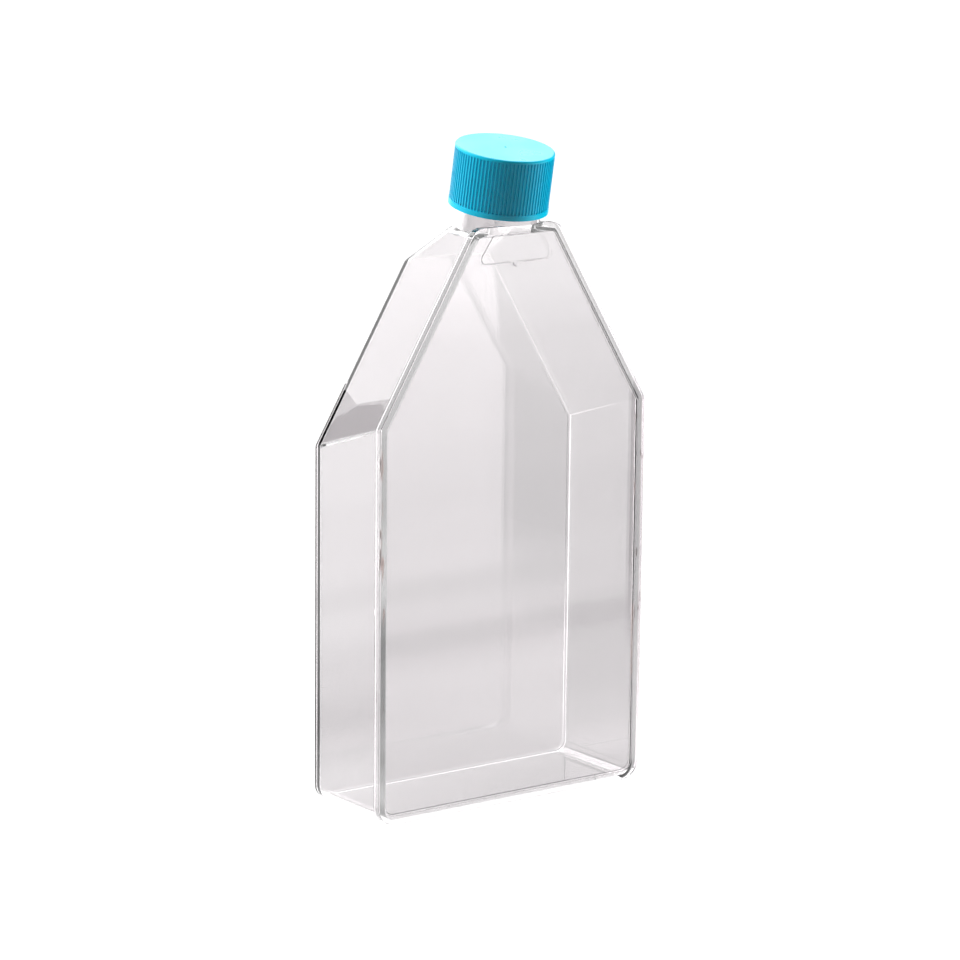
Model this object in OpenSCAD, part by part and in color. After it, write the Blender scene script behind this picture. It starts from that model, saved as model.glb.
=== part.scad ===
// Cell culture flask with 175 square centimetres of growth area, standing on its end.
// A moulded tray carries a canted neck. A flat lid is welded to its flange, and a
// ribbed screw cap with a sealing disc closes the neck.
// +Z runs from the base to the neck, the lid faces -Y and the growth plate faces +Y.
// The origin is at the middle of the base.

/* [Flask] */
// Width across the flange
flask_w = 113; // [90:0.5:140]
// Height from the base to the top edge of the flange
flask_h = 203; // [190:0.5:250]
// Depth from the lid's face to the foot ridge
flask_d = 41; // [36:0.5:56]
// Height of the flange's shoulders above the base
shoulder_h = 138; // [110:0.5:150]
// Width of the flange's top edge
top_w = 35.2; // [31:0.2:46]

/* [Tray] */
// Thickness of the tray's walls
wall = 1.6; // [1.2:0.05:2.2]
// Thickness of the flange
flange_t = 1.4; // [1:0.1:2.4]
// Distance that the flange stands out beyond the side walls
flange_over = 1.6; // [0.8:0.1:2.4]
// Fall of the shoulders from the flange to the growth plate
shoulder_drop = 11.6; // [6:0.2:16]
// Depth of the top wall between the flange and the pouring ramp
top_d = 18; // [12:0.5:20]
// Fall of the top wall over its depth
top_drop = 0; // [0:0.1:2]
// Fall of the pouring ramp from the top wall to the growth plate
ramp_drop = 12.9; // [8:0.1:16]
// Inside radius of the base corners
base_r = 3.9; // [2:0.1:8]
// Inside radius of the shoulder corners
shoulder_r = 0.8; // [0.7:0.1:6]
// Inside radius of the top corners
top_r = 2.6; // [0.7:0.1:4]
// Inside radius around the growth plate
plate_r = 0.5; // [0.2:0.1:0.7]
// Outside radius around the growth plate
plate_edge_r = 0.6; // [0.3:0.1:2]

/* [Foot ridge] */
// Height of the ridge that the flask lies on
foot_h = 0.3; // [0.2:0.05:1]
// Width of the ridge
foot_w = 2; // [1.2:0.1:3]
// Distance that the ridge climbs past the shoulders
foot_rise = 20.6; // [4:0.2:40]

/* [Lid] */
// Thickness of the lid
lid_t = 1.5; // [1:0.1:2.4]
// Width of the raised rim round the lid
rim_w = 3; // [2:0.1:5]
// Height of the rim above the panel
rim_h = 0.5; // [0.2:0.05:0.8]
// Depth of the step that drops into the tray's mouth
step_t = 0.5; // [0.3:0.05:1]
// Gap between that step and the tray's walls
step_gap = 0.25; // [0.15:0.05:0.5]
// Width of the plateau near the neck, at its foot
plateau_w = 29.8; // [20:0.2:36]
// Width of the plateau at its top
plateau_top_w = 18.6; // [12:0.2:26]
// Height of the plateau
plateau_h = 9.6; // [6:0.2:14]
// Height of the plateau above the panel
plateau_t = 0.3; // [0.1:0.05:0.5]
// Radius of the plateau's lower corners
plateau_r = 2; // [1:0.1:3]
// Diameter of the lid's gate mark
gate_d = 3; // [2:0.1:5]

/* [Neck] */
// Lean of the neck towards the lid, in degrees
neck_tilt = 10.4; // [8:0.1:15]
// Distance that the collar stands out over the lid's face
neck_over = 2.95; // [1:0.05:4]
// Length of the neck along its axis, above the top edge of the flange
neck_len = 23.7; // [19:0.1:30]
// Diameter of the neck under the cap, at the root of its thread
core_d = 26.8; // [22:0.1:33]
// Thickness of the neck's wall under the cap
neck_wall = 1.6; // [1.2:0.1:2.4]
// Distance that the collar stands out beyond the neck under the cap
collar_t = 1.6; // [0.5:0.1:1.8]
// Length of the collar above the top edge of the flange
collar_len = 4.6; // [2:0.1:6]

/* [Cap] */
// Height of the thread between neck and cap
thread_t = 1.4; // [1:0.1:2]
// Gap between the neck's thread and the cap
thread_gap = 0.4; // [0.3:0.05:0.6]
// Height of the cap
cap_h = 21; // [16:0.1:23]
// Thickness of the cap's roof
cap_roof = 1.5; // [1:0.1:2.5]
// Thickness of the cap's skirt at the ribs
skirt_t = 1.9; // [1.6:0.05:2.2]
// Number of grip ribs
rib_n = 84; // [24:1:96]
// Depth of the grooves between the ribs
rib_depth = 0.45; // [0.2:0.05:0.6]
// Radius of the cap's top edge
cap_edge_r = 0.7; // [0.4:0.1:2]
// Height of the plain band under the top edge
top_band = 0.4; // [0.2:0.1:2]
// Height of the plain band at the foot of the cap
foot_band = 1.9; // [0.5:0.1:3]
// Distance that the lower part of this band stands out beyond the ribs
foot_rim_t = 0.15; // [0.05:0.05:0.4]
// Thickness of the sealing disc
liner_t = 1; // [0.5:0.1:2]
// Gap between the sealing disc and the cap's skirt
liner_gap = 0.25; // [0.15:0.05:0.4]

/* [Hidden] */
clear_plastic = [0.86, 0.87, 0.9, 0.35];
cap_blue = [0.0, 0.72, 0.84];
liner_white = [0.93, 0.93, 0.9];
round_fn = 96;
blend_fn = 32;
overlap = 1;

lid_y = -flask_d / 2;
flange_y = lid_y + lid_t;
tray_y = flange_y + flange_t;
foot_y = flask_d / 2;
plate_y = foot_y - foot_h;

half_w = flask_w / 2 - flange_over;
slope = (flask_h - shoulder_h) / ((flask_w - top_w) / 2);
slant = sqrt(1 + slope * slope);
front_shoulder_h = shoulder_h - flange_over * (slant - slope);
front_top_h = flask_h - flange_over;
ramp_top_h = front_top_h - top_drop;
ramp_foot_h = ramp_top_h - ramp_drop;
ramp_y = tray_y + top_d;
ramp_angle = atan(ramp_drop / (plate_y - ramp_y));
foot_end_h = front_shoulder_h - shoulder_drop + foot_rise;

bore_d = core_d - 2 * neck_wall;
neck_d = core_d + 2 * collar_t;
neck_set = neck_d / 2 / cos(neck_tilt) - neck_over;
neck_root = neck_d / 2;

cap_foot = neck_len + liner_t + cap_roof - cap_h;
cap_bore_d = core_d + 2 * (thread_t + thread_gap);
cap_d = cap_bore_d + 2 * skirt_t;
groove_r = 0.3 * PI * cap_d / rib_n;
groove_low = cap_foot + foot_band;
foot_rim_h = foot_band - 2 * foot_rim_t;
groove_high = cap_foot + cap_h - cap_edge_r - top_band;

// Height of the shoulder line on the walls, at depth y
function shoulder_at(y) =
    front_shoulder_h - shoulder_drop * (y - tray_y) / (plate_y - tray_y);

// Half width of the slanted walls at depth y and height z
function slant_x(y, z) = half_w - (z - shoulder_at(y)) / slope;

// Centre of a shoulder corner of radius r at depth y, as [x, z]
function shoulder_centre(y, r) = [half_w - r, shoulder_at(y) + r * (slope - slant)];

// Centre of a top corner of radius r at depth y whose top is at height z, as [x, z]
function top_centre(y, z, r) = [slant_x(y, z - r) - r * slant / slope, z - r];

// Puts children on the neck's axis, with their zero at the top edge of the flange
module on_neck() {
    translate([0, lid_y + neck_set, flask_h])
        rotate([neck_tilt, 0, 0])
            children();
}

// Extrudes an outline drawn in X and Z from depth y along +Y
module from_depth(y, t) {
    translate([0, y + t, 0])
        rotate([90, 0, 0])
            linear_extrude(height = t)
                children();
}

// A disc across Y, from depth y to rear, with its rear edge rounded by edge
module button(centre, r, y, rear, edge) {
    translate([centre[0], 0, centre[1]])
        rotate([-90, 0, 0])
            rotate_extrude($fn = blend_fn)
                polygon(concat(
                    [[0, y], [r, y]],
                    [for (a = [0 : 15 : 90]) [r - edge + edge * cos(a), rear - edge + edge * sin(a)]],
                    [[0, rear]]));
}

// The tray's form, shrunk by inset on every wall and starting at depth front
module tray_form(inset, front) {
    shrink = wall - inset;
    rear = plate_y - inset;
    edge = inset > 0 ? plate_r : plate_edge_r;
    turn_y = ramp_y - inset * tan(ramp_angle / 2);
    foot_lift = inset * (1 - tan(45 - ramp_angle / 2));
    thin = 0.2;
    hull()
        for (side = [0, 1])
            mirror([side, 0, 0]) {
                button([half_w - base_r - wall, base_r + wall], base_r + shrink, front, rear, edge);
                button(shoulder_centre(front, shoulder_r + wall), shoulder_r + shrink, front, front + thin, 0);
                button(shoulder_centre(plate_y, shoulder_r + wall), shoulder_r + shrink, rear - edge - thin, rear, edge);
                button(top_centre(front, front_top_h, top_r + wall), top_r + shrink, front, front + thin, 0);
                button(top_centre(turn_y, ramp_top_h, top_r + wall), top_r + shrink, turn_y, turn_y + thin, 0);
                button(top_centre(plate_y, ramp_foot_h + foot_lift, top_r + wall), top_r + shrink,
                    rear - edge - thin, rear, edge);
            }
}

// Outline of the flange and the lid
module flange_outline() {
    r = base_r + wall + flange_over;
    corner = shoulder_r + wall + flange_over;
    rise = corner * (slope - slant);
    top_corner = top_r + wall + flange_over;
    hull()
        for (side = [-1, 1]) {
            translate([side * (flask_w / 2 - r), r])
                circle(r = r, $fn = blend_fn);
            translate([side * (flask_w / 2 - corner), shoulder_h + rise])
                circle(r = corner, $fn = blend_fn);
            translate([side * (top_w / 2 + top_corner * (1 - slant) / slope), flask_h - top_corner])
                circle(r = top_corner, $fn = blend_fn);
        }
}

// Outline of the tray's walls at the growth plate
module plate_outline() {
    shoulder = shoulder_centre(plate_y, shoulder_r + wall);
    top = top_centre(plate_y, ramp_foot_h, top_r + wall);
    hull()
        for (side = [-1, 1]) {
            translate([side * (half_w - base_r - wall), base_r + wall])
                circle(r = base_r + wall, $fn = blend_fn);
            translate([side * shoulder[0], shoulder[1]])
                circle(r = shoulder_r + wall, $fn = blend_fn);
            translate([side * top[0], top[1]])
                circle(r = top_r + wall, $fn = blend_fn);
        }
}

// Ridge along the base and up both sides of the growth plate, with chamfered ends
module foot_ridge() {
    difference() {
        from_depth(plate_y - wall / 2, foot_h + wall / 2)
            difference() {
                plate_outline();
                offset(delta = -foot_w)
                    plate_outline();
            }
        translate([-flask_w, foot_y, foot_end_h - foot_h])
            rotate([45, 0, 0])
                cube([2 * flask_w, flask_h, flask_h]);
        translate([-flask_w, plate_y - wall, foot_end_h])
            cube([2 * flask_w, flask_h, flask_h]);
    }
}

// Outside of the neck: the collar, then the thread's root. It stops above the lid's edge
module neck_outside() {
    difference() {
        on_neck() {
            translate([0, 0, -neck_root])
                cylinder(d = neck_d, h = neck_root + collar_len, $fn = round_fn);
            cylinder(d = core_d, h = neck_len, $fn = round_fn);
        }
        translate([-neck_d, flange_y - neck_d, flask_h - neck_d])
            cube([2 * neck_d, neck_d, neck_d + step_gap]);
    }
}

// Bore of the neck, kept behind the flange up to a ledge that seals the collar over the lid
module neck_bore() {
    difference() {
        on_neck()
            translate([0, 0, -neck_root])
                cylinder(d = bore_d, h = neck_root + neck_len + overlap, $fn = round_fn);
        translate([-neck_d, tray_y - neck_d, flask_h - neck_d])
            cube([2 * neck_d, neck_d, neck_d + step_gap + wall]);
    }
}

// Moulded tray: growth plate, walls, ramp, flange, foot ridge and neck in one piece
module flask_body() {
    color(clear_plastic)
        difference() {
            union() {
                tray_form(0, flange_y);
                from_depth(flange_y, flange_t)
                    flange_outline();
                foot_ridge();
                neck_outside();
            }
            tray_form(wall, flange_y - overlap);
            neck_bore();
        }
}

// Plateau near the neck: a trapezoid that hangs from the rim, with round lower corners
module plateau_outline() {
    foot = flask_h - rim_w - plateau_h;
    hull() {
        for (side = [-1, 1])
            translate([side * (plateau_w / 2 - plateau_r), foot + plateau_r])
                circle(r = plateau_r, $fn = blend_fn);
        translate([-plateau_top_w / 2, flask_h - rim_w])
            square([plateau_top_w, overlap]);
    }
}

// Flat lid with a raised rim, a step that drops into the tray and the plateau near the neck
module top_plate() {
    color(clear_plastic) {
        difference() {
            union() {
                from_depth(lid_y, lid_t)
                    flange_outline();
                intersection() {
                    from_depth(flange_y - lid_t / 2, lid_t / 2 + step_t)
                        offset(delta = -(flange_over + wall + step_gap))
                            flange_outline();
                    translate([-flask_w, lid_y, wall + step_gap])
                        cube([2 * flask_w, flask_d, flask_h]);
                }
            }
            difference() {
                from_depth(lid_y - overlap, rim_h + overlap)
                    offset(delta = -rim_w)
                        flange_outline();
                from_depth(lid_y + rim_h - plateau_t, plateau_t)
                    plateau_outline();
            }
        }
        gate_mark();
    }
}

// Stub left by the lid's gate, on the plateau's lower edge
module gate_mark() {
    translate([0, lid_y + rim_h + overlap / 2, flask_h - rim_w - plateau_h])
        rotate([90, 0, 0])
            cylinder(d = gate_d, h = plateau_t + overlap / 2, $fn = round_fn);
}

// Soft disc that seals the neck's rim, held under the cap's roof
module cap_liner() {
    color(liner_white)
        on_neck()
            translate([0, 0, neck_len])
                cylinder(d = cap_bore_d - 2 * liner_gap, h = liner_t, $fn = round_fn);
}

// Screw cap: a skirt with grip grooves between plain bands, and a roof with a rounded edge
module screw_cap() {
    color(cap_blue)
        on_neck()
            difference() {
                translate([0, 0, cap_foot])
                    rotate_extrude($fn = round_fn)
                        cap_profile();
                for (i = [0 : rib_n - 1])
                    rotate([0, 0, 360 * i / rib_n])
                        translate([cap_d / 2 + groove_r - rib_depth, 0, groove_low])
                            cylinder(r = groove_r, h = groove_high - groove_low, $fn = blend_fn);
            }
}

// Half section of the cap, from its foot up
module cap_profile() {
    difference() {
        union() {
            square([cap_d / 2, cap_h - cap_edge_r]);
            square([cap_d / 2 + foot_rim_t, foot_rim_h]);
            square([cap_d / 2 - cap_edge_r, cap_h]);
            translate([cap_d / 2 - cap_edge_r, cap_h - cap_edge_r])
                circle(r = cap_edge_r, $fn = round_fn);
        }
        translate([0, -overlap])
            square([cap_bore_d / 2, cap_h - cap_roof + overlap]);
    }
}

flask_body();
top_plate();
cap_liner();
screw_cap();
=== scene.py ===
"""A cell culture flask standing on its end: a clear moulded tray with a canted neck, a flat
lid welded to its flange, and a ribbed screw cap over a foam sealing disc.

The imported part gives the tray, lid, disc and cap. This script gives them their finishes and adds
the screw threads and the cap's gate mark. Lengths are metres, +Z is up, the lid faces -Y and the
growth plate +Y.
"""

import math

import bmesh
import bpy
import numpy as np
from mathutils import Matrix, Vector


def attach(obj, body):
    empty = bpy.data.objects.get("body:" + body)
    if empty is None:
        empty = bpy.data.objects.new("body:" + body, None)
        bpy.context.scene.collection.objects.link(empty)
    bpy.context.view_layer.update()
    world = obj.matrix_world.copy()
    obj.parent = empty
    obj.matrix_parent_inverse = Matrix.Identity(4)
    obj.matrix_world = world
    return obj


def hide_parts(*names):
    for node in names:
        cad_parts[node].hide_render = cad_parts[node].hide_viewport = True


MM = 0.001

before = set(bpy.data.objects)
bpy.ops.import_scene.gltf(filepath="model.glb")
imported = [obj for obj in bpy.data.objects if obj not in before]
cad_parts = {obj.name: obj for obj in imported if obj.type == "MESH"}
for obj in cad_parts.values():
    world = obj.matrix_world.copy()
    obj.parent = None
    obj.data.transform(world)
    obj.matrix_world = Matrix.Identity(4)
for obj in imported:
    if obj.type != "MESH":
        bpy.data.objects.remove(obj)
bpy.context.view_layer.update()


# ---------------------------------------------------------------- camera and lamps

AZIMUTH, ELEVATION, ROLL = math.radians(-36.47), math.radians(11.82), math.radians(0.59)
DISTANCE = 1399 * MM
TARGET = Vector((-1.6, -2.5, 111.8)) * MM
SENSOR, LENS = 36, 151.3
NEAREST_SEEN, FURTHEST_SEEN = 0.05, 100


def from_angles(azimuth, elevation):
    """The unit vector from the object towards a place at that azimuth and elevation, in radians.
    Azimuth 0 is -Y, in front of the lid, and a quarter turn is +X."""
    return Vector((math.sin(azimuth) * math.cos(elevation),
                   -math.cos(azimuth) * math.cos(elevation),
                   math.sin(elevation)))


def place_camera():
    """A long lens that looks at the flask from its front left, a little above it."""
    data = bpy.data.cameras.new("camera")
    data.sensor_width, data.lens = SENSOR, LENS
    data.clip_start, data.clip_end = NEAREST_SEEN, FURTHEST_SEEN
    camera = bpy.data.objects.new("camera", data)
    bpy.context.collection.objects.link(camera)
    back = from_angles(AZIMUTH, ELEVATION)
    level = (-back).cross(Vector((0, 0, 1))).normalized()
    upright = level.cross(-back)
    right = level * math.cos(ROLL) + upright * math.sin(ROLL)
    up = upright * math.cos(ROLL) - level * math.sin(ROLL)
    turn = Matrix((right, up, back)).transposed().to_4x4()
    camera.matrix_world = Matrix.Translation(TARGET + back * DISTANCE) @ turn
    bpy.context.scene.camera = camera


def soft_sun(name, azimuth, elevation, width, strength):
    """Light from a far round source, width degrees across. All angles are in degrees."""
    data = bpy.data.lights.new(name, "SUN")
    data.angle = math.radians(width)
    data.energy = strength
    lamp = bpy.data.objects.new(name, data)
    lamp.visible_glossy = lamp.visible_transmission = False
    bpy.context.collection.objects.link(lamp)
    away = from_angles(math.radians(azimuth), math.radians(elevation))
    lamp.location = TARGET + away
    lamp.rotation_euler = away.to_track_quat("Z", "Y").to_euler()


# ---------------------------------------------------------------- node helpers

def nodes_of(owner):
    """An empty node tree for a material or a world."""
    owner.use_nodes = True
    owner.node_tree.nodes.clear()
    return owner.node_tree


def add(tree, kind, **inputs):
    """A new node with its sockets set or linked. An underscore in a name stands for a space, and
    i with a number, such as i0, for the socket at that place."""
    node = tree.nodes.new(kind)
    for name, value in inputs.items():
        by_place = name[0] == "i" and name[1:].isdigit()
        socket = node.inputs[int(name[1:]) if by_place else name.replace("_", " ")]
        if isinstance(value, bpy.types.NodeSocket):
            tree.links.new(value, socket)
        else:
            socket.default_value = value
    return node


def math_node(tree, operation, first, second=0.0, clamp=False):
    """The output of a Math node on two numbers or sockets."""
    node = add(tree, "ShaderNodeMath", i0=first, i1=second)
    node.operation, node.use_clamp = operation, clamp
    return node.outputs[0]


def vector_number(tree, operation, first, second=(0, 0, 0)):
    """The number that a Vector Math node gives, such as a dot product or a length."""
    node = add(tree, "ShaderNodeVectorMath", i0=first, i1=second)
    node.operation = operation
    return node.outputs["Value"]


def spread(tree, value, low, high, out_low, out_high, course="LINEAR"):
    """value taken from the range low to high onto out_low to out_high, and held at its ends."""
    node = add(tree, "ShaderNodeMapRange", Value=value)
    node.interpolation_type = course
    for name, number in (("From Min", low), ("From Max", high),
                         ("To Min", out_low), ("To Max", out_high)):
        node.inputs[name].default_value = number
    return node.outputs[0]


def noise(tree, place, scale, detail, roughness=0.5):
    """The height of a Noise texture at place, with scale in bumps per metre."""
    node = add(tree, "ShaderNodeTexNoise", Vector=place, Scale=scale, Detail=detail,
               Roughness=roughness)
    return node.outputs[0]


def blend(tree, share, first, second):
    """A colour between first and second, which are red, green and blue. The node's sockets 6 and 7
    are its two colours, and its output 2 is their blend."""
    node = add(tree, "ShaderNodeMix", i0=share)
    node.data_type = "RGBA"
    node.inputs[6].default_value, node.inputs[7].default_value = (*first, 1), (*second, 1)
    return node.outputs[2]


def grey(tone):
    """A grey as a colour with alpha."""
    return (tone, tone, tone, 1)


def object_place(tree):
    """Where a point lies, in metres in the flask's own frame."""
    return add(tree, "ShaderNodeTexCoord").outputs["Object"]


def axes_of(tree, place):
    """The X, Y and Z of place, by name."""
    return add(tree, "ShaderNodeSeparateXYZ", i0=place).outputs


def ray_path(tree):
    """What is known of a ray: its kind and how often it has been mirrored or let through."""
    return add(tree, "ShaderNodeLightPath").outputs


def mirrored_ray(tree):
    """1 for a ray from its first reflection on, and 0 before."""
    return math_node(tree, "GREATER_THAN", ray_path(tree)["Glossy Depth"], 0.5)


def seen_shares(tree, through_walls, in_gloss):
    """1 for what the camera sees directly, through_walls for what it sees through the clear
    plastic, in_gloss for what a glossy surface mirrors, and 0 for plain light. A ray counts as
    mirrored from its first reflection on."""
    path = ray_path(tree)
    mirrored = mirrored_ray(tree)
    bent = math_node(tree, "SUBTRACT", path["Is Transmission Ray"], mirrored, clamp=True)
    through = math_node(tree, "MULTIPLY", bent, through_walls)
    gloss = math_node(tree, "MULTIPLY", mirrored, in_gloss)
    return math_node(tree, "ADD", math_node(tree, "ADD", path["Is Camera Ray"], through), gloss)


# ---------------------------------------------------------------- world, floor and cards

# A panel of light: (azimuth, elevation), degrees out to its edge and to its bright core, and its
# brightness beyond the edge and in the core.
BACK_LIGHT = (190, 60), 62, 25, 0.04, 1.5
SOFTBOX = (160, 58), 48, 33, 0.12, 3.6
LOW_PANEL = (205, 12), 60, 25, 0, 1.7
# The share of the white background that shows through the walls.
WALL_SHADE = 0.76


def round_panel(tree, way, towards, edge, core, dim, bright):
    """Brightness of a round panel of light at (azimuth, elevation): bright within core degrees of
    its middle, and dim beyond edge degrees of it."""
    middle = from_angles(*[math.radians(angle) for angle in towards])
    facing = vector_number(tree, "DOT_PRODUCT", way, middle)
    return spread(tree, facing, math.cos(math.radians(edge)), math.cos(math.radians(core)),
                  dim, bright, "SMOOTHSTEP")


def studio_world():
    """White behind the flask, and WALL_SHADE of it through the walls. As light, a broad bright
    panel high behind the flask and dim light in front. A mirrored view meets a softbox above and a
    low panel behind instead."""
    world = bpy.data.worlds.new("studio")
    bpy.context.scene.world = world
    tree = nodes_of(world)
    way = add(tree, "ShaderNodeTexCoord").outputs["Generated"]
    plain = round_panel(tree, way, *BACK_LIGHT)
    mirrored = math_node(tree, "ADD", round_panel(tree, way, *SOFTBOX),
                         round_panel(tree, way, *LOW_PANEL))
    strength = add(tree, "ShaderNodeMix", i0=mirrored_ray(tree), i2=plain, i3=mirrored)
    light = add(tree, "ShaderNodeBackground", Color=grey(1), Strength=strength.outputs[0])
    white = add(tree, "ShaderNodeBackground", Color=grey(1),
                Strength=seen_shares(tree, WALL_SHADE, 0))
    direct = seen_shares(tree, 1, 0)
    mix = add(tree, "ShaderNodeMixShader", i0=direct, i1=light.outputs[0], i2=white.outputs[0])
    add(tree, "ShaderNodeOutputWorld", Surface=mix.outputs[0])


def flat_stage(name, corners, material):
    """A flat stage piece through its corners, in order."""
    mesh = bpy.data.meshes.new(name)
    mesh.from_pydata(corners, [], [range(len(corners))])
    mesh.materials.append(material)
    piece = bpy.data.objects.new(name, mesh)
    bpy.context.collection.objects.link(piece)


FLOOR_HALF = 30
FLOOR_MATT, FLOOR_GLOW = 0.2, 0.8
# The share of the floor's glow that shows through the walls, near and far: painted shade of the
# clear walls.
FLOOR_THROUGH_WALLS = 0.2, 0.53
NEAR_GROUND, FAR_GROUND = 1.7, 4.5

# How bright the floor is painted for a mirrored view, as (Y in mm, glow): painted reflections with
# painted dark bands, which the walls mirror.
PAINTED_REFLECTION_GLOW = ((-1400, 4.5), (-1100, 4.4), (-950, 4.1), (-840, 3.5), (-780, 3.0), (-612, 2.6),
                 (-516, 2.35), (-430, 2.07), (-373, 2.05), (-325, 2.2), (-265, 2.1), (-245, 1.75),
                 (-230, 1.0), (-215, 1.0), (-195, 1.65), (-170, 1.9), (-138, 1.95), (-90, 2.3),
                 (-60, 2.0), (0, 1.45), (40, 2.0), (70, 1.35), (105, 0.7), (160, 1.2),
                 (232, 1.85), (312, 1.75), (380, 1.75), (450, 2.05), (600, 2.05), (760, 1.4))

# Painted shade at the floor's front left, seen only in a mirrored view, by X + Y in metres: from,
# to and its share.
CORNER_SHADE_FROM, CORNER_SHADE_TO, CORNER_SHADE_SHARE = -1.0, -0.4, 0.3

# A strip of painted shade on the floor, seen only in a mirrored view, that runs back and to the
# left from behind the flask: the way across it, how far its middle lies that way, how far it
# reaches to either side, where it starts along Y, and its share.
ACROSS_STRIP = (0.804, 0.594, 0)
STRIP_MIDDLE = 45 * MM
STRIP_CORE, STRIP_EDGE = 30 * MM, 50 * MM
STRIP_OPEN, STRIP_FULL = 20 * MM, 60 * MM
STRIP_SHADE_SHARE = 0.25


def far_ground(tree, near_share, far_share):
    """near_share within NEAR_GROUND of the flask, and far_share from FAR_GROUND out to the
    horizon."""
    reach = vector_number(tree, "LENGTH", object_place(tree))
    return spread(tree, reach, NEAR_GROUND, FAR_GROUND, near_share, far_share)


def glow_by_depth(tree, depth):
    """PAINTED_REFLECTION_GLOW at that depth, eased from stop to stop."""
    near, far = PAINTED_REFLECTION_GLOW[0][0] * MM, PAINTED_REFLECTION_GLOW[-1][0] * MM
    brightest = max(glow for _, glow in PAINTED_REFLECTION_GLOW)
    ramp = add(tree, "ShaderNodeValToRGB", i0=spread(tree, depth, near, far, 0, 1))
    stops = ramp.color_ramp.elements
    for place_mm, glow in PAINTED_REFLECTION_GLOW[1:-1]:
        stops.new((place_mm * MM - near) / (far - near)).color = grey(glow / brightest)
    stops[0].color = grey(PAINTED_REFLECTION_GLOW[0][1] / brightest)
    stops[-1].color = grey(PAINTED_REFLECTION_GLOW[-1][1] / brightest)
    ramp.color_ramp.interpolation = "EASE"
    return math_node(tree, "MULTIPLY", ramp.outputs[0], brightest)


def painted_reflection_glow(tree):
    """How bright the floor is painted for a mirrored view: painted reflections by depth, with a
    soft painted dark band in front of the flask and another behind it, and brighter beyond both.
    Painted shade dims it at the front left and in the strip that runs back from the flask, and it
    is dark far away."""
    place = object_place(tree)
    axes = axes_of(tree, place)
    depth = axes["Y"]
    # Painted shade in the mirrored floor: at the front left and in the strip behind the flask.
    corner = math_node(tree, "ADD", axes["X"], depth)
    corner_shade = spread(tree, corner, CORNER_SHADE_FROM, CORNER_SHADE_TO, CORNER_SHADE_SHARE, 1)
    across = vector_number(tree, "DOT_PRODUCT", place, ACROSS_STRIP)
    off_middle = math_node(tree, "ABSOLUTE", math_node(tree, "SUBTRACT", across, STRIP_MIDDLE))
    beside = spread(tree, off_middle, STRIP_CORE, STRIP_EDGE, STRIP_SHADE_SHARE, 1)
    in_front = spread(tree, depth, STRIP_OPEN, STRIP_FULL, 1, 0)
    strip = math_node(tree, "MAXIMUM", beside, in_front)
    shade = math_node(tree, "MULTIPLY", corner_shade, strip)
    # Painted reflections: the glow by depth, with its painted dark bands.
    glow = math_node(tree, "MULTIPLY", glow_by_depth(tree, depth), shade)
    return math_node(tree, "MULTIPLY", glow, far_ground(tree, 1, 0))


def pale_floor():
    """A wide white floor that keeps the flask's soft shadow."""
    material = bpy.data.materials.new("floor_white")
    tree = nodes_of(material)
    through_walls = far_ground(tree, *FLOOR_THROUGH_WALLS)
    matt = add(tree, "ShaderNodeBsdfDiffuse", Color=grey(FLOOR_MATT))
    # In a mirrored view the glow shows painted reflections and painted shade.
    glow = add(tree, "ShaderNodeEmission", Color=grey(FLOOR_GLOW),
               Strength=seen_shares(tree, through_walls, painted_reflection_glow(tree)))
    both = add(tree, "ShaderNodeAddShader", i0=matt.outputs[0], i1=glow.outputs[0])
    add(tree, "ShaderNodeOutputMaterial", Surface=both.outputs[0])
    half = FLOOR_HALF
    flat_stage("floor", [(-half, -half, 0), (half, -half, 0), (half, half, 0), (-half, half, 0)],
               material)


FLAG_BLACK = (0.01, 0.01, 0.012, 1)
FLAG_FADE = 35 * MM, 75 * MM
# Corners of the two cards, in mm.
LEFT_FLAG = ((-85, 300, 177), (-150, 300, 177), (-150, 300, 250), (-119, 300, 250),
             (-109.5, 300, 229), (-107, 300, 223), (-99, 300, 222), (-90, 300, 210))
RIGHT_FLAG = ((75, -50, 30), (75, 20, 30), (75, 20, 230), (75, -50, 230))


def black_card():
    """Black card with a soft lower edge that only a mirrored view meets: what is seen straight on
    or through a wall passes it."""
    material = bpy.data.materials.new("flag_black")
    tree = nodes_of(material)
    solid = spread(tree, axes_of(tree, object_place(tree))["Z"], *FLAG_FADE, 0, 1)
    black = add(tree, "ShaderNodeBsdfDiffuse", Color=FLAG_BLACK)
    clear_air = add(tree, "ShaderNodeBsdfTransparent", Color=grey(1))
    met = math_node(tree, "MULTIPLY", mirrored_ray(tree), solid)
    mix = add(tree, "ShaderNodeMixShader", i0=met, i1=clear_air.outputs[0], i2=black.outputs[0])
    add(tree, "ShaderNodeOutputMaterial", Surface=mix.outputs[0])
    return material


place_camera()
studio_world()
pale_floor()
card = black_card()
flat_stage("left_flag", [Vector(corner) * MM for corner in LEFT_FLAG], card)
flat_stage("right_flag", [Vector(corner) * MM for corner in RIGHT_FLAG], card)
soft_sun("left_light", azimuth=-126, elevation=24, width=35, strength=4.6)
soft_sun("right_light", azimuth=72, elevation=14, width=30, strength=5.5)


# ---------------------------------------------------------------- finishes

# The second tint is darker and paints shade on the rounded edges of tray and lid.
PANEL_TINT, EDGE_SHADE_TINT = (0.935, 0.91, 0.922), (0.72, 0.68, 0.7)
POLYSTYRENE_IOR = 1.59
SHADOW_LIGHT = 0.95
# Light is trapped from its third reflection on. The share of it that each face then lets through is
# the first number if it crossed as many faces as it met reflections, and the second if it met two
# reflections more. This dimming is painted shade that darkens the rims.
TRAPPED_FROM = 2.5
CROSSING_SHARE, PIPED_SHADE_SHARE = 0.9, 0.25
# The streaks' dark colour: weld marks, and painted dark reflections in the rim.
BUBBLE_AND_REFLECTION_TINT, BUBBLE_IOR = (0.2, 0.15, 0.14, 1), 1.2
MARKS_FADE, MARKS_TOP = (12 * MM, 30 * MM), 132 * MM


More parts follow.
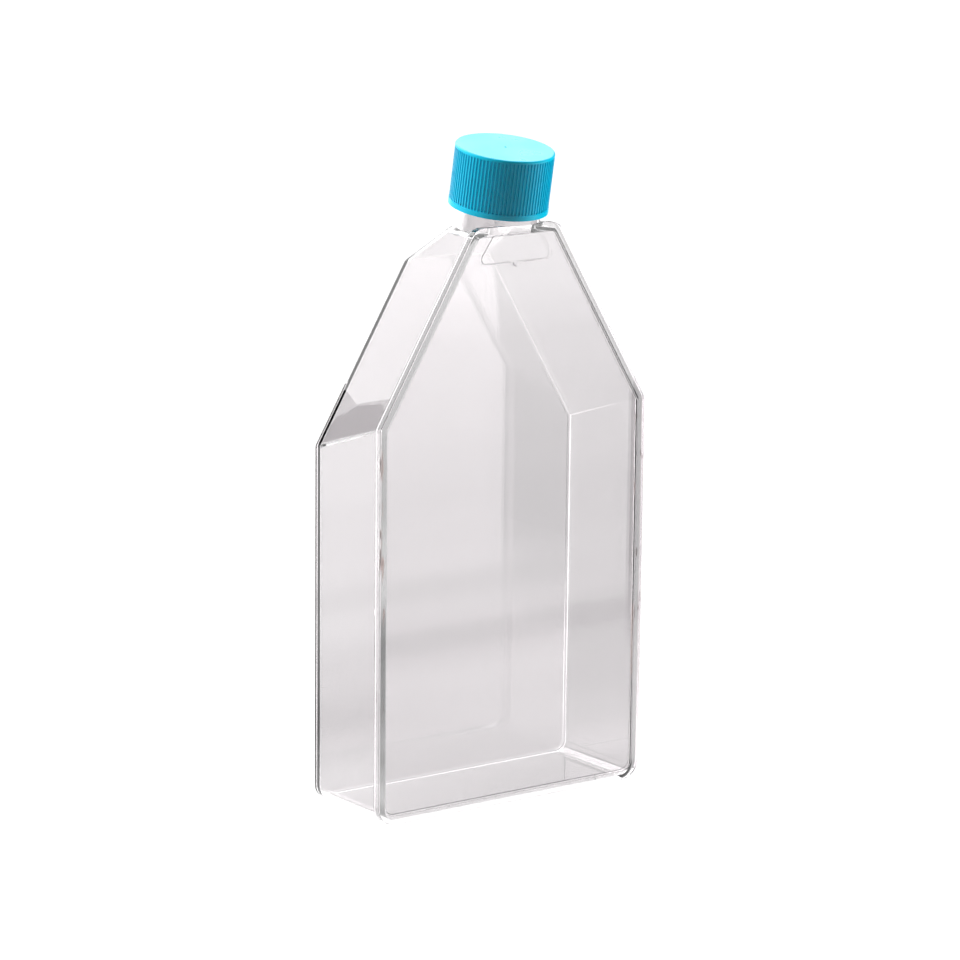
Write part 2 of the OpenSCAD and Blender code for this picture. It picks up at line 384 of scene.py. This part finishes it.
def clear_polystyrene(name, tint):
    """Clear moulded polystyrene: glossy, faintly grey and violet, with a slow ripple from the mould
    and fine scuffs. Light trapped inside it goes straight on and is dimmed at each face, most of
    all when it runs along an edge: painted shade that darkens the rims. Shadows stay pale."""
    material = bpy.data.materials.new(name)
    tree = nodes_of(material)
    place = object_place(tree)
    ripple = noise(tree, place, scale=45, detail=2)
    skin = add(tree, "ShaderNodeBump", Height=ripple, Strength=0.02, Distance=0.4 * MM)
    scuffed = noise(tree, place, scale=900, detail=4, roughness=0.7)
    scuffs = spread(tree, scuffed, 0.66, 0.8, 0.0, 0.01)
    body = add(tree, "ShaderNodeBsdfPrincipled", Base_Color=(*tint, 1), Roughness=scuffs,
               Transmission_Weight=1, IOR=POLYSTYRENE_IOR, Normal=skin.outputs[0])
    path = ray_path(tree)
    turned = math_node(tree, "SUBTRACT", path["Glossy Depth"], path["Transmission Depth"])
    # Painted shade: trapped light is dimmed at each face, most of all along the rims.
    rim_shade = spread(tree, turned, 0, 2, CROSSING_SHARE, PIPED_SHADE_SHARE)
    shadow = math_node(tree, "MULTIPLY", path["Is Shadow Ray"], SHADOW_LIGHT)
    passed_on = math_node(tree, "MAXIMUM", rim_shade, shadow)
    open_air = add(tree, "ShaderNodeBsdfTransparent", Color=passed_on)
    trapped = math_node(tree, "GREATER_THAN", path["Glossy Depth"], TRAPPED_FROM)
    straight = math_node(tree, "MAXIMUM", path["Is Shadow Ray"], trapped)
    mix = add(tree, "ShaderNodeMixShader", i0=straight, i1=body.outputs[0], i2=open_air.outputs[0])
    add(tree, "ShaderNodeOutputMaterial", Surface=mix.outputs[0])
    return material


def weld_plastic():
    """Where lid and flange are melted together: no face is left inside the plastic, apart from
    upright streaks between its foot and its shoulders. They show trapped air and scorched flash,
    and they are also painted dark reflections in the rim."""
    material = bpy.data.materials.new("weld_plastic")
    tree = nodes_of(material)
    place = object_place(tree)
    height = axes_of(tree, place)["Z"]
    joined = add(tree, "ShaderNodeBsdfTransparent", Color=grey(1))
    bubbles_and_reflections = add(tree, "ShaderNodeBsdfPrincipled", Base_Color=BUBBLE_AND_REFLECTION_TINT, Roughness=0.15,
                  Transmission_Weight=1, IOR=BUBBLE_IOR)
    drawn_out = add(tree, "ShaderNodeMapping", Vector=place, Scale=(1, 1, 0.12)).outputs[0]
    marks = noise(tree, drawn_out, scale=480, detail=3, roughness=0.6)
    marks = spread(tree, marks, 0.6, 0.64, 0.0, 1.0)
    below_shoulders = math_node(tree, "LESS_THAN", height, MARKS_TOP)
    above_foot = spread(tree, height, *MARKS_FADE, 0, 1)
    upright = math_node(tree, "MULTIPLY", below_shoulders, above_foot)
    # Dark streaks: weld marks that also paint dark reflections in the rim.
    streaks = math_node(tree, "MULTIPLY", marks, upright)
    mix = add(tree, "ShaderNodeMixShader", i0=streaks, i1=joined.outputs[0], i2=bubbles_and_reflections.outputs[0])
    add(tree, "ShaderNodeOutputMaterial", Surface=mix.outputs[0])
    return material


def cap_polyethylene():
    """Turquoise moulded polyethylene: a satin skin with a fine grain and faint flow streaks."""
    material = bpy.data.materials.new("turquoise_polyethylene")
    tree = nodes_of(material)
    place = object_place(tree)
    flow = noise(tree, place, scale=60, detail=4)
    colour = blend(tree, flow, (0.0, 0.45, 0.66), (0.0, 0.51, 0.71))
    grain = noise(tree, place, scale=2200, detail=2)
    skin = add(tree, "ShaderNodeBump", Height=grain, Strength=0.15, Distance=0.05 * MM)
    satin = spread(tree, flow, 0.3, 0.7, 0.26, 0.34)
    body = add(tree, "ShaderNodeBsdfPrincipled", Base_Color=colour, Specular_IOR_Level=0.3,
               Roughness=satin, Normal=skin.outputs[0])
    add(tree, "ShaderNodeOutputMaterial", Surface=body.outputs[0])
    return material


def white_foam():
    """White closed-cell foam of the sealing disc."""
    material = bpy.data.materials.new("white_foam")
    tree = nodes_of(material)
    place = object_place(tree)
    cells = add(tree, "ShaderNodeTexVoronoi", Vector=place, Scale=2600).outputs["Distance"]
    skin = add(tree, "ShaderNodeBump", Height=cells, Strength=0.5, Distance=0.12 * MM)
    colour = blend(tree, cells, (0.88, 0.88, 0.86), (0.76, 0.76, 0.73))
    body = add(tree, "ShaderNodeBsdfPrincipled", Base_Color=colour, Roughness=0.75,
               Normal=skin.outputs[0])
    add(tree, "ShaderNodeOutputMaterial", Surface=body.outputs[0])
    return material


def finish_node(name, material):
    """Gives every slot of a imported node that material."""
    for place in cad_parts[name].material_slots:
        place.material = material


# ---------------------------------------------------------------- tray, lid and cap

WELD_Y = -19 * MM
SAME_PLACE = 1e-6
FACING_Y = 0.9
FLAT_WITHIN = math.radians(0.2)
SHARP_FROM = math.radians(30)
EDGE_SEGMENTS = 3
FACE_WEIGHT = 100
MOULDED_EDGE, CAP_EDGE = 0.3 * MM, 0.1 * MM
HAIRLINE = 0.02 * MM


def merged_mesh(node, name, finishes):
    """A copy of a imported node's mesh with its doubles merged, each flat area made one face, and
    the first finish all over."""
    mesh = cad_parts[node].data.copy()
    mesh.name = name
    mesh.materials.clear()
    for finish in finishes:
        mesh.materials.append(finish)
    mesh.polygons.foreach_set("material_index", np.zeros(len(mesh.polygons), dtype=np.int32))
    form = bmesh.new()
    form.from_mesh(mesh)
    bmesh.ops.remove_doubles(form, verts=form.verts, dist=SAME_PLACE)
    bmesh.ops.dissolve_limit(form, angle_limit=FLAT_WITHIN, verts=form.verts, edges=form.edges)
    form.to_mesh(mesh)
    form.free()
    return mesh


def mark_weld(mesh, draw_back):
    """Gives the second finish to the faces that lie in the weld, and moves them by draw_back along
    Y to leave a hairline there."""
    middles, normals = np.empty(len(mesh.polygons) * 3), np.empty(len(mesh.polygons) * 3)
    mesh.polygons.foreach_get("center", middles)
    mesh.polygons.foreach_get("normal", normals)
    in_weld = np.abs(middles[1::3] - WELD_Y) < SAME_PLACE
    in_weld &= np.abs(normals[1::3]) > FACING_Y
    mesh.polygons.foreach_set("material_index", in_weld.astype(np.int32))
    places = np.empty(len(mesh.vertices) * 3)
    mesh.vertices.foreach_get("co", places)
    places[1::3][np.abs(places[1::3] - WELD_Y) < SAME_PLACE] += draw_back
    mesh.vertices.foreach_set("co", places)


def rounded_copy(node, name, body, finishes, edge_r, draw_back=0):
    """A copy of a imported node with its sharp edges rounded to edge_r. The first finish is for its
    faces and the last for the rounded edges. Where there are three, the middle one is for the
    faces that lie in the weld, which are moved by draw_back."""
    mesh = merged_mesh(node, name, finishes)
    if len(finishes) == 3:
        mark_weld(mesh, draw_back)
    if "custom_normal" in mesh.attributes:
        mesh.attributes.remove(mesh.attributes["custom_normal"])
    mesh.shade_smooth()
    mesh.set_sharp_from_angle(angle=SHARP_FROM)
    piece = bpy.data.objects.new(name, mesh)
    bpy.context.collection.objects.link(piece)
    bevel = piece.modifiers.new("round_edges", "BEVEL")
    bevel.width, bevel.segments, bevel.material = edge_r, EDGE_SEGMENTS, len(finishes) - 1
    bevel.limit_method, bevel.angle_limit = "ANGLE", SHARP_FROM
    bevel.use_clamp_overlap = True
    even = piece.modifiers.new("flat_faces", "WEIGHTED_NORMAL")
    even.weight, even.keep_sharp = FACE_WEIGHT, True
    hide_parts(node)
    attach(piece, body)
    return piece


# The last finish, darker, paints shade on the rounded edges.
clear = [clear_polystyrene("clear_polystyrene", PANEL_TINT), weld_plastic(),
         clear_polystyrene("clear_polystyrene_shaded_edges", EDGE_SHADE_TINT)]
tray = rounded_copy("flask_body", "clear_tray", "flask", clear, MOULDED_EDGE)
lid = rounded_copy("top_plate", "clear_lid", "flask", clear, MOULDED_EDGE, draw_back=-HAIRLINE)
turquoise = cap_polyethylene()
cap = rounded_copy("screw_cap", "cap_shell", "cap", [turquoise], CAP_EDGE)
finish_node("cap_liner", white_foam())


# ---------------------------------------------------------------- threads and gate mark

NECK_FOOT = Vector((0, -8.1995, 203)) * MM
NECK_TILT = math.radians(10.4)
CAP_TOP = 26.2 * MM
PITCH = 4 * MM
CORE_R, NECK_CREST_R = 13.42 * MM, 14.75 * MM
BORE_R, CAP_CREST_R = 15.35 * MM, 13.95 * MM
# The thread's section: (share of the way out to the crest, mm up).
THREAD_SECTION = ((0, -1), (0.7, -0.62), (0.93, -0.45), (1, -0.3),
                  (1, 0.3), (0.93, 0.45), (0.7, 0.62), (0, 1))
THREAD_CREASE = math.radians(40)
RINGS_PER_TURN = 96
TIP_TURNS, TIP_END = 0.1, 0.02
DOME_RINGS, DOME_STATIONS, DOME_REACH = 9, 32, 0.98


def about_neck(radius, angle, height):
    """Points at those radii, angles and heights about the neck's axis, from the flange's top edge.
    The axis leans towards the lid by the neck's tilt."""
    x, y = radius * np.cos(angle), radius * np.sin(angle)
    lean = np.array([[1, 0, 0], [0, math.cos(NECK_TILT), -math.sin(NECK_TILT)],
                     [0, math.sin(NECK_TILT), math.cos(NECK_TILT)]])
    return np.stack([x, y, height + 0 * x], axis=-1) @ lean.T + np.array(NECK_FOOT)


def closed_tube(name, rings, body, material):
    """A closed piece through rings, an array of (ring, station, xyz), with a flat face over each
    end. Its faces point outwards: they are turned round if the volume they hold, the sum of the
    triple products of their corners, is negative."""
    count, stations = rings.shape[:2]
    places = rings.reshape(-1, 3)
    ring, station = np.meshgrid(np.arange(count - 1), np.arange(stations), indexing="ij")
    ahead = (station + 1) % stations
    walls = np.stack([ring * stations + station, ring * stations + ahead,
                      (ring + 1) * stations + ahead, (ring + 1) * stations + station], axis=-1)
    walls = walls.reshape(-1, 4)
    ends = [np.arange(stations)[::-1], (count - 1) * stations + np.arange(stations)]
    a, b, c, d = (places[walls[:, i]] - places.mean(axis=0) for i in range(4))
    volume = (np.cross(a, b) * c).sum() + (np.cross(a, c) * d).sum()
    faces = [list(face) for face in walls.tolist()] + [end.tolist() for end in ends]
    if volume < 0:
        faces = [face[::-1] for face in faces]
    mesh = bpy.data.meshes.new(name)
    mesh.from_pydata(places.tolist(), [], faces)
    mesh.materials.append(material)
    mesh.shade_smooth()
    mesh.set_sharp_from_angle(angle=THREAD_CREASE)
    piece = bpy.data.objects.new(name, mesh)
    bpy.context.collection.objects.link(piece)
    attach(piece, body)


def thread(name, root_r, crest_r, low, turns, body, material):
    """A right-hand screw thread: a rounded trapezoid carried up a helix. Its station (out, up) at
    turn t lies at radius root_r + out (crest_r - root_r), angle 360 t degrees and height
    low + pitch t + up 1 mm. The section shrinks to a tip over TIP_TURNS at each end."""
    turn = np.linspace(0, turns, int(turns * RINGS_PER_TURN) + 1)
    section = np.array(THREAD_SECTION)
    tip = np.clip(np.minimum(turn, turns - turn) / TIP_TURNS, TIP_END, 1)
    out, up = np.outer(tip, section[:, 0]), np.outer(tip, section[:, 1])
    radius = root_r + out * (crest_r - root_r)
    height = low + PITCH * turn[:, None] + up * MM
    rings = about_neck(radius, 2 * math.pi * turn[:, None] + 0 * radius, height)
    closed_tube(name, rings, body, material)


def gate_dot(name, radius, rise, height, body, material):
    """The stub of the cap's gate: a dome turned about the neck's axis. At share s of the way up,
    its radius is radius cos(90 s) and its height height + rise sin(90 s), with the angles in
    degrees. The shares stop at DOME_REACH, where a flat face closes it."""
    share = np.linspace(0, DOME_REACH, DOME_RINGS)[:, None] * math.pi / 2
    angle = np.linspace(0, 2 * math.pi, DOME_STATIONS, endpoint=False)[None, :]
    rings = about_neck(radius * np.cos(share) + 0 * angle, angle + 0 * share,
                       height + rise * np.sin(share) + 0 * angle)
    closed_tube(name, rings, body, material)


thread("neck_thread", CORE_R, NECK_CREST_R, low=9 * MM, turns=2.5,
       body="flask", material=clear[0])
thread("cap_thread", BORE_R, CAP_CREST_R, low=11 * MM, turns=1.5,
       body="cap", material=turquoise)
gate_dot("cap_gate_dot", radius=0.45 * MM, rise=0.3 * MM, height=CAP_TOP - 0.05 * MM,
         body="cap", material=turquoise)


# ---------------------------------------------------------------- hand over

scene = bpy.context.scene
scene.view_settings.view_transform = "Standard"
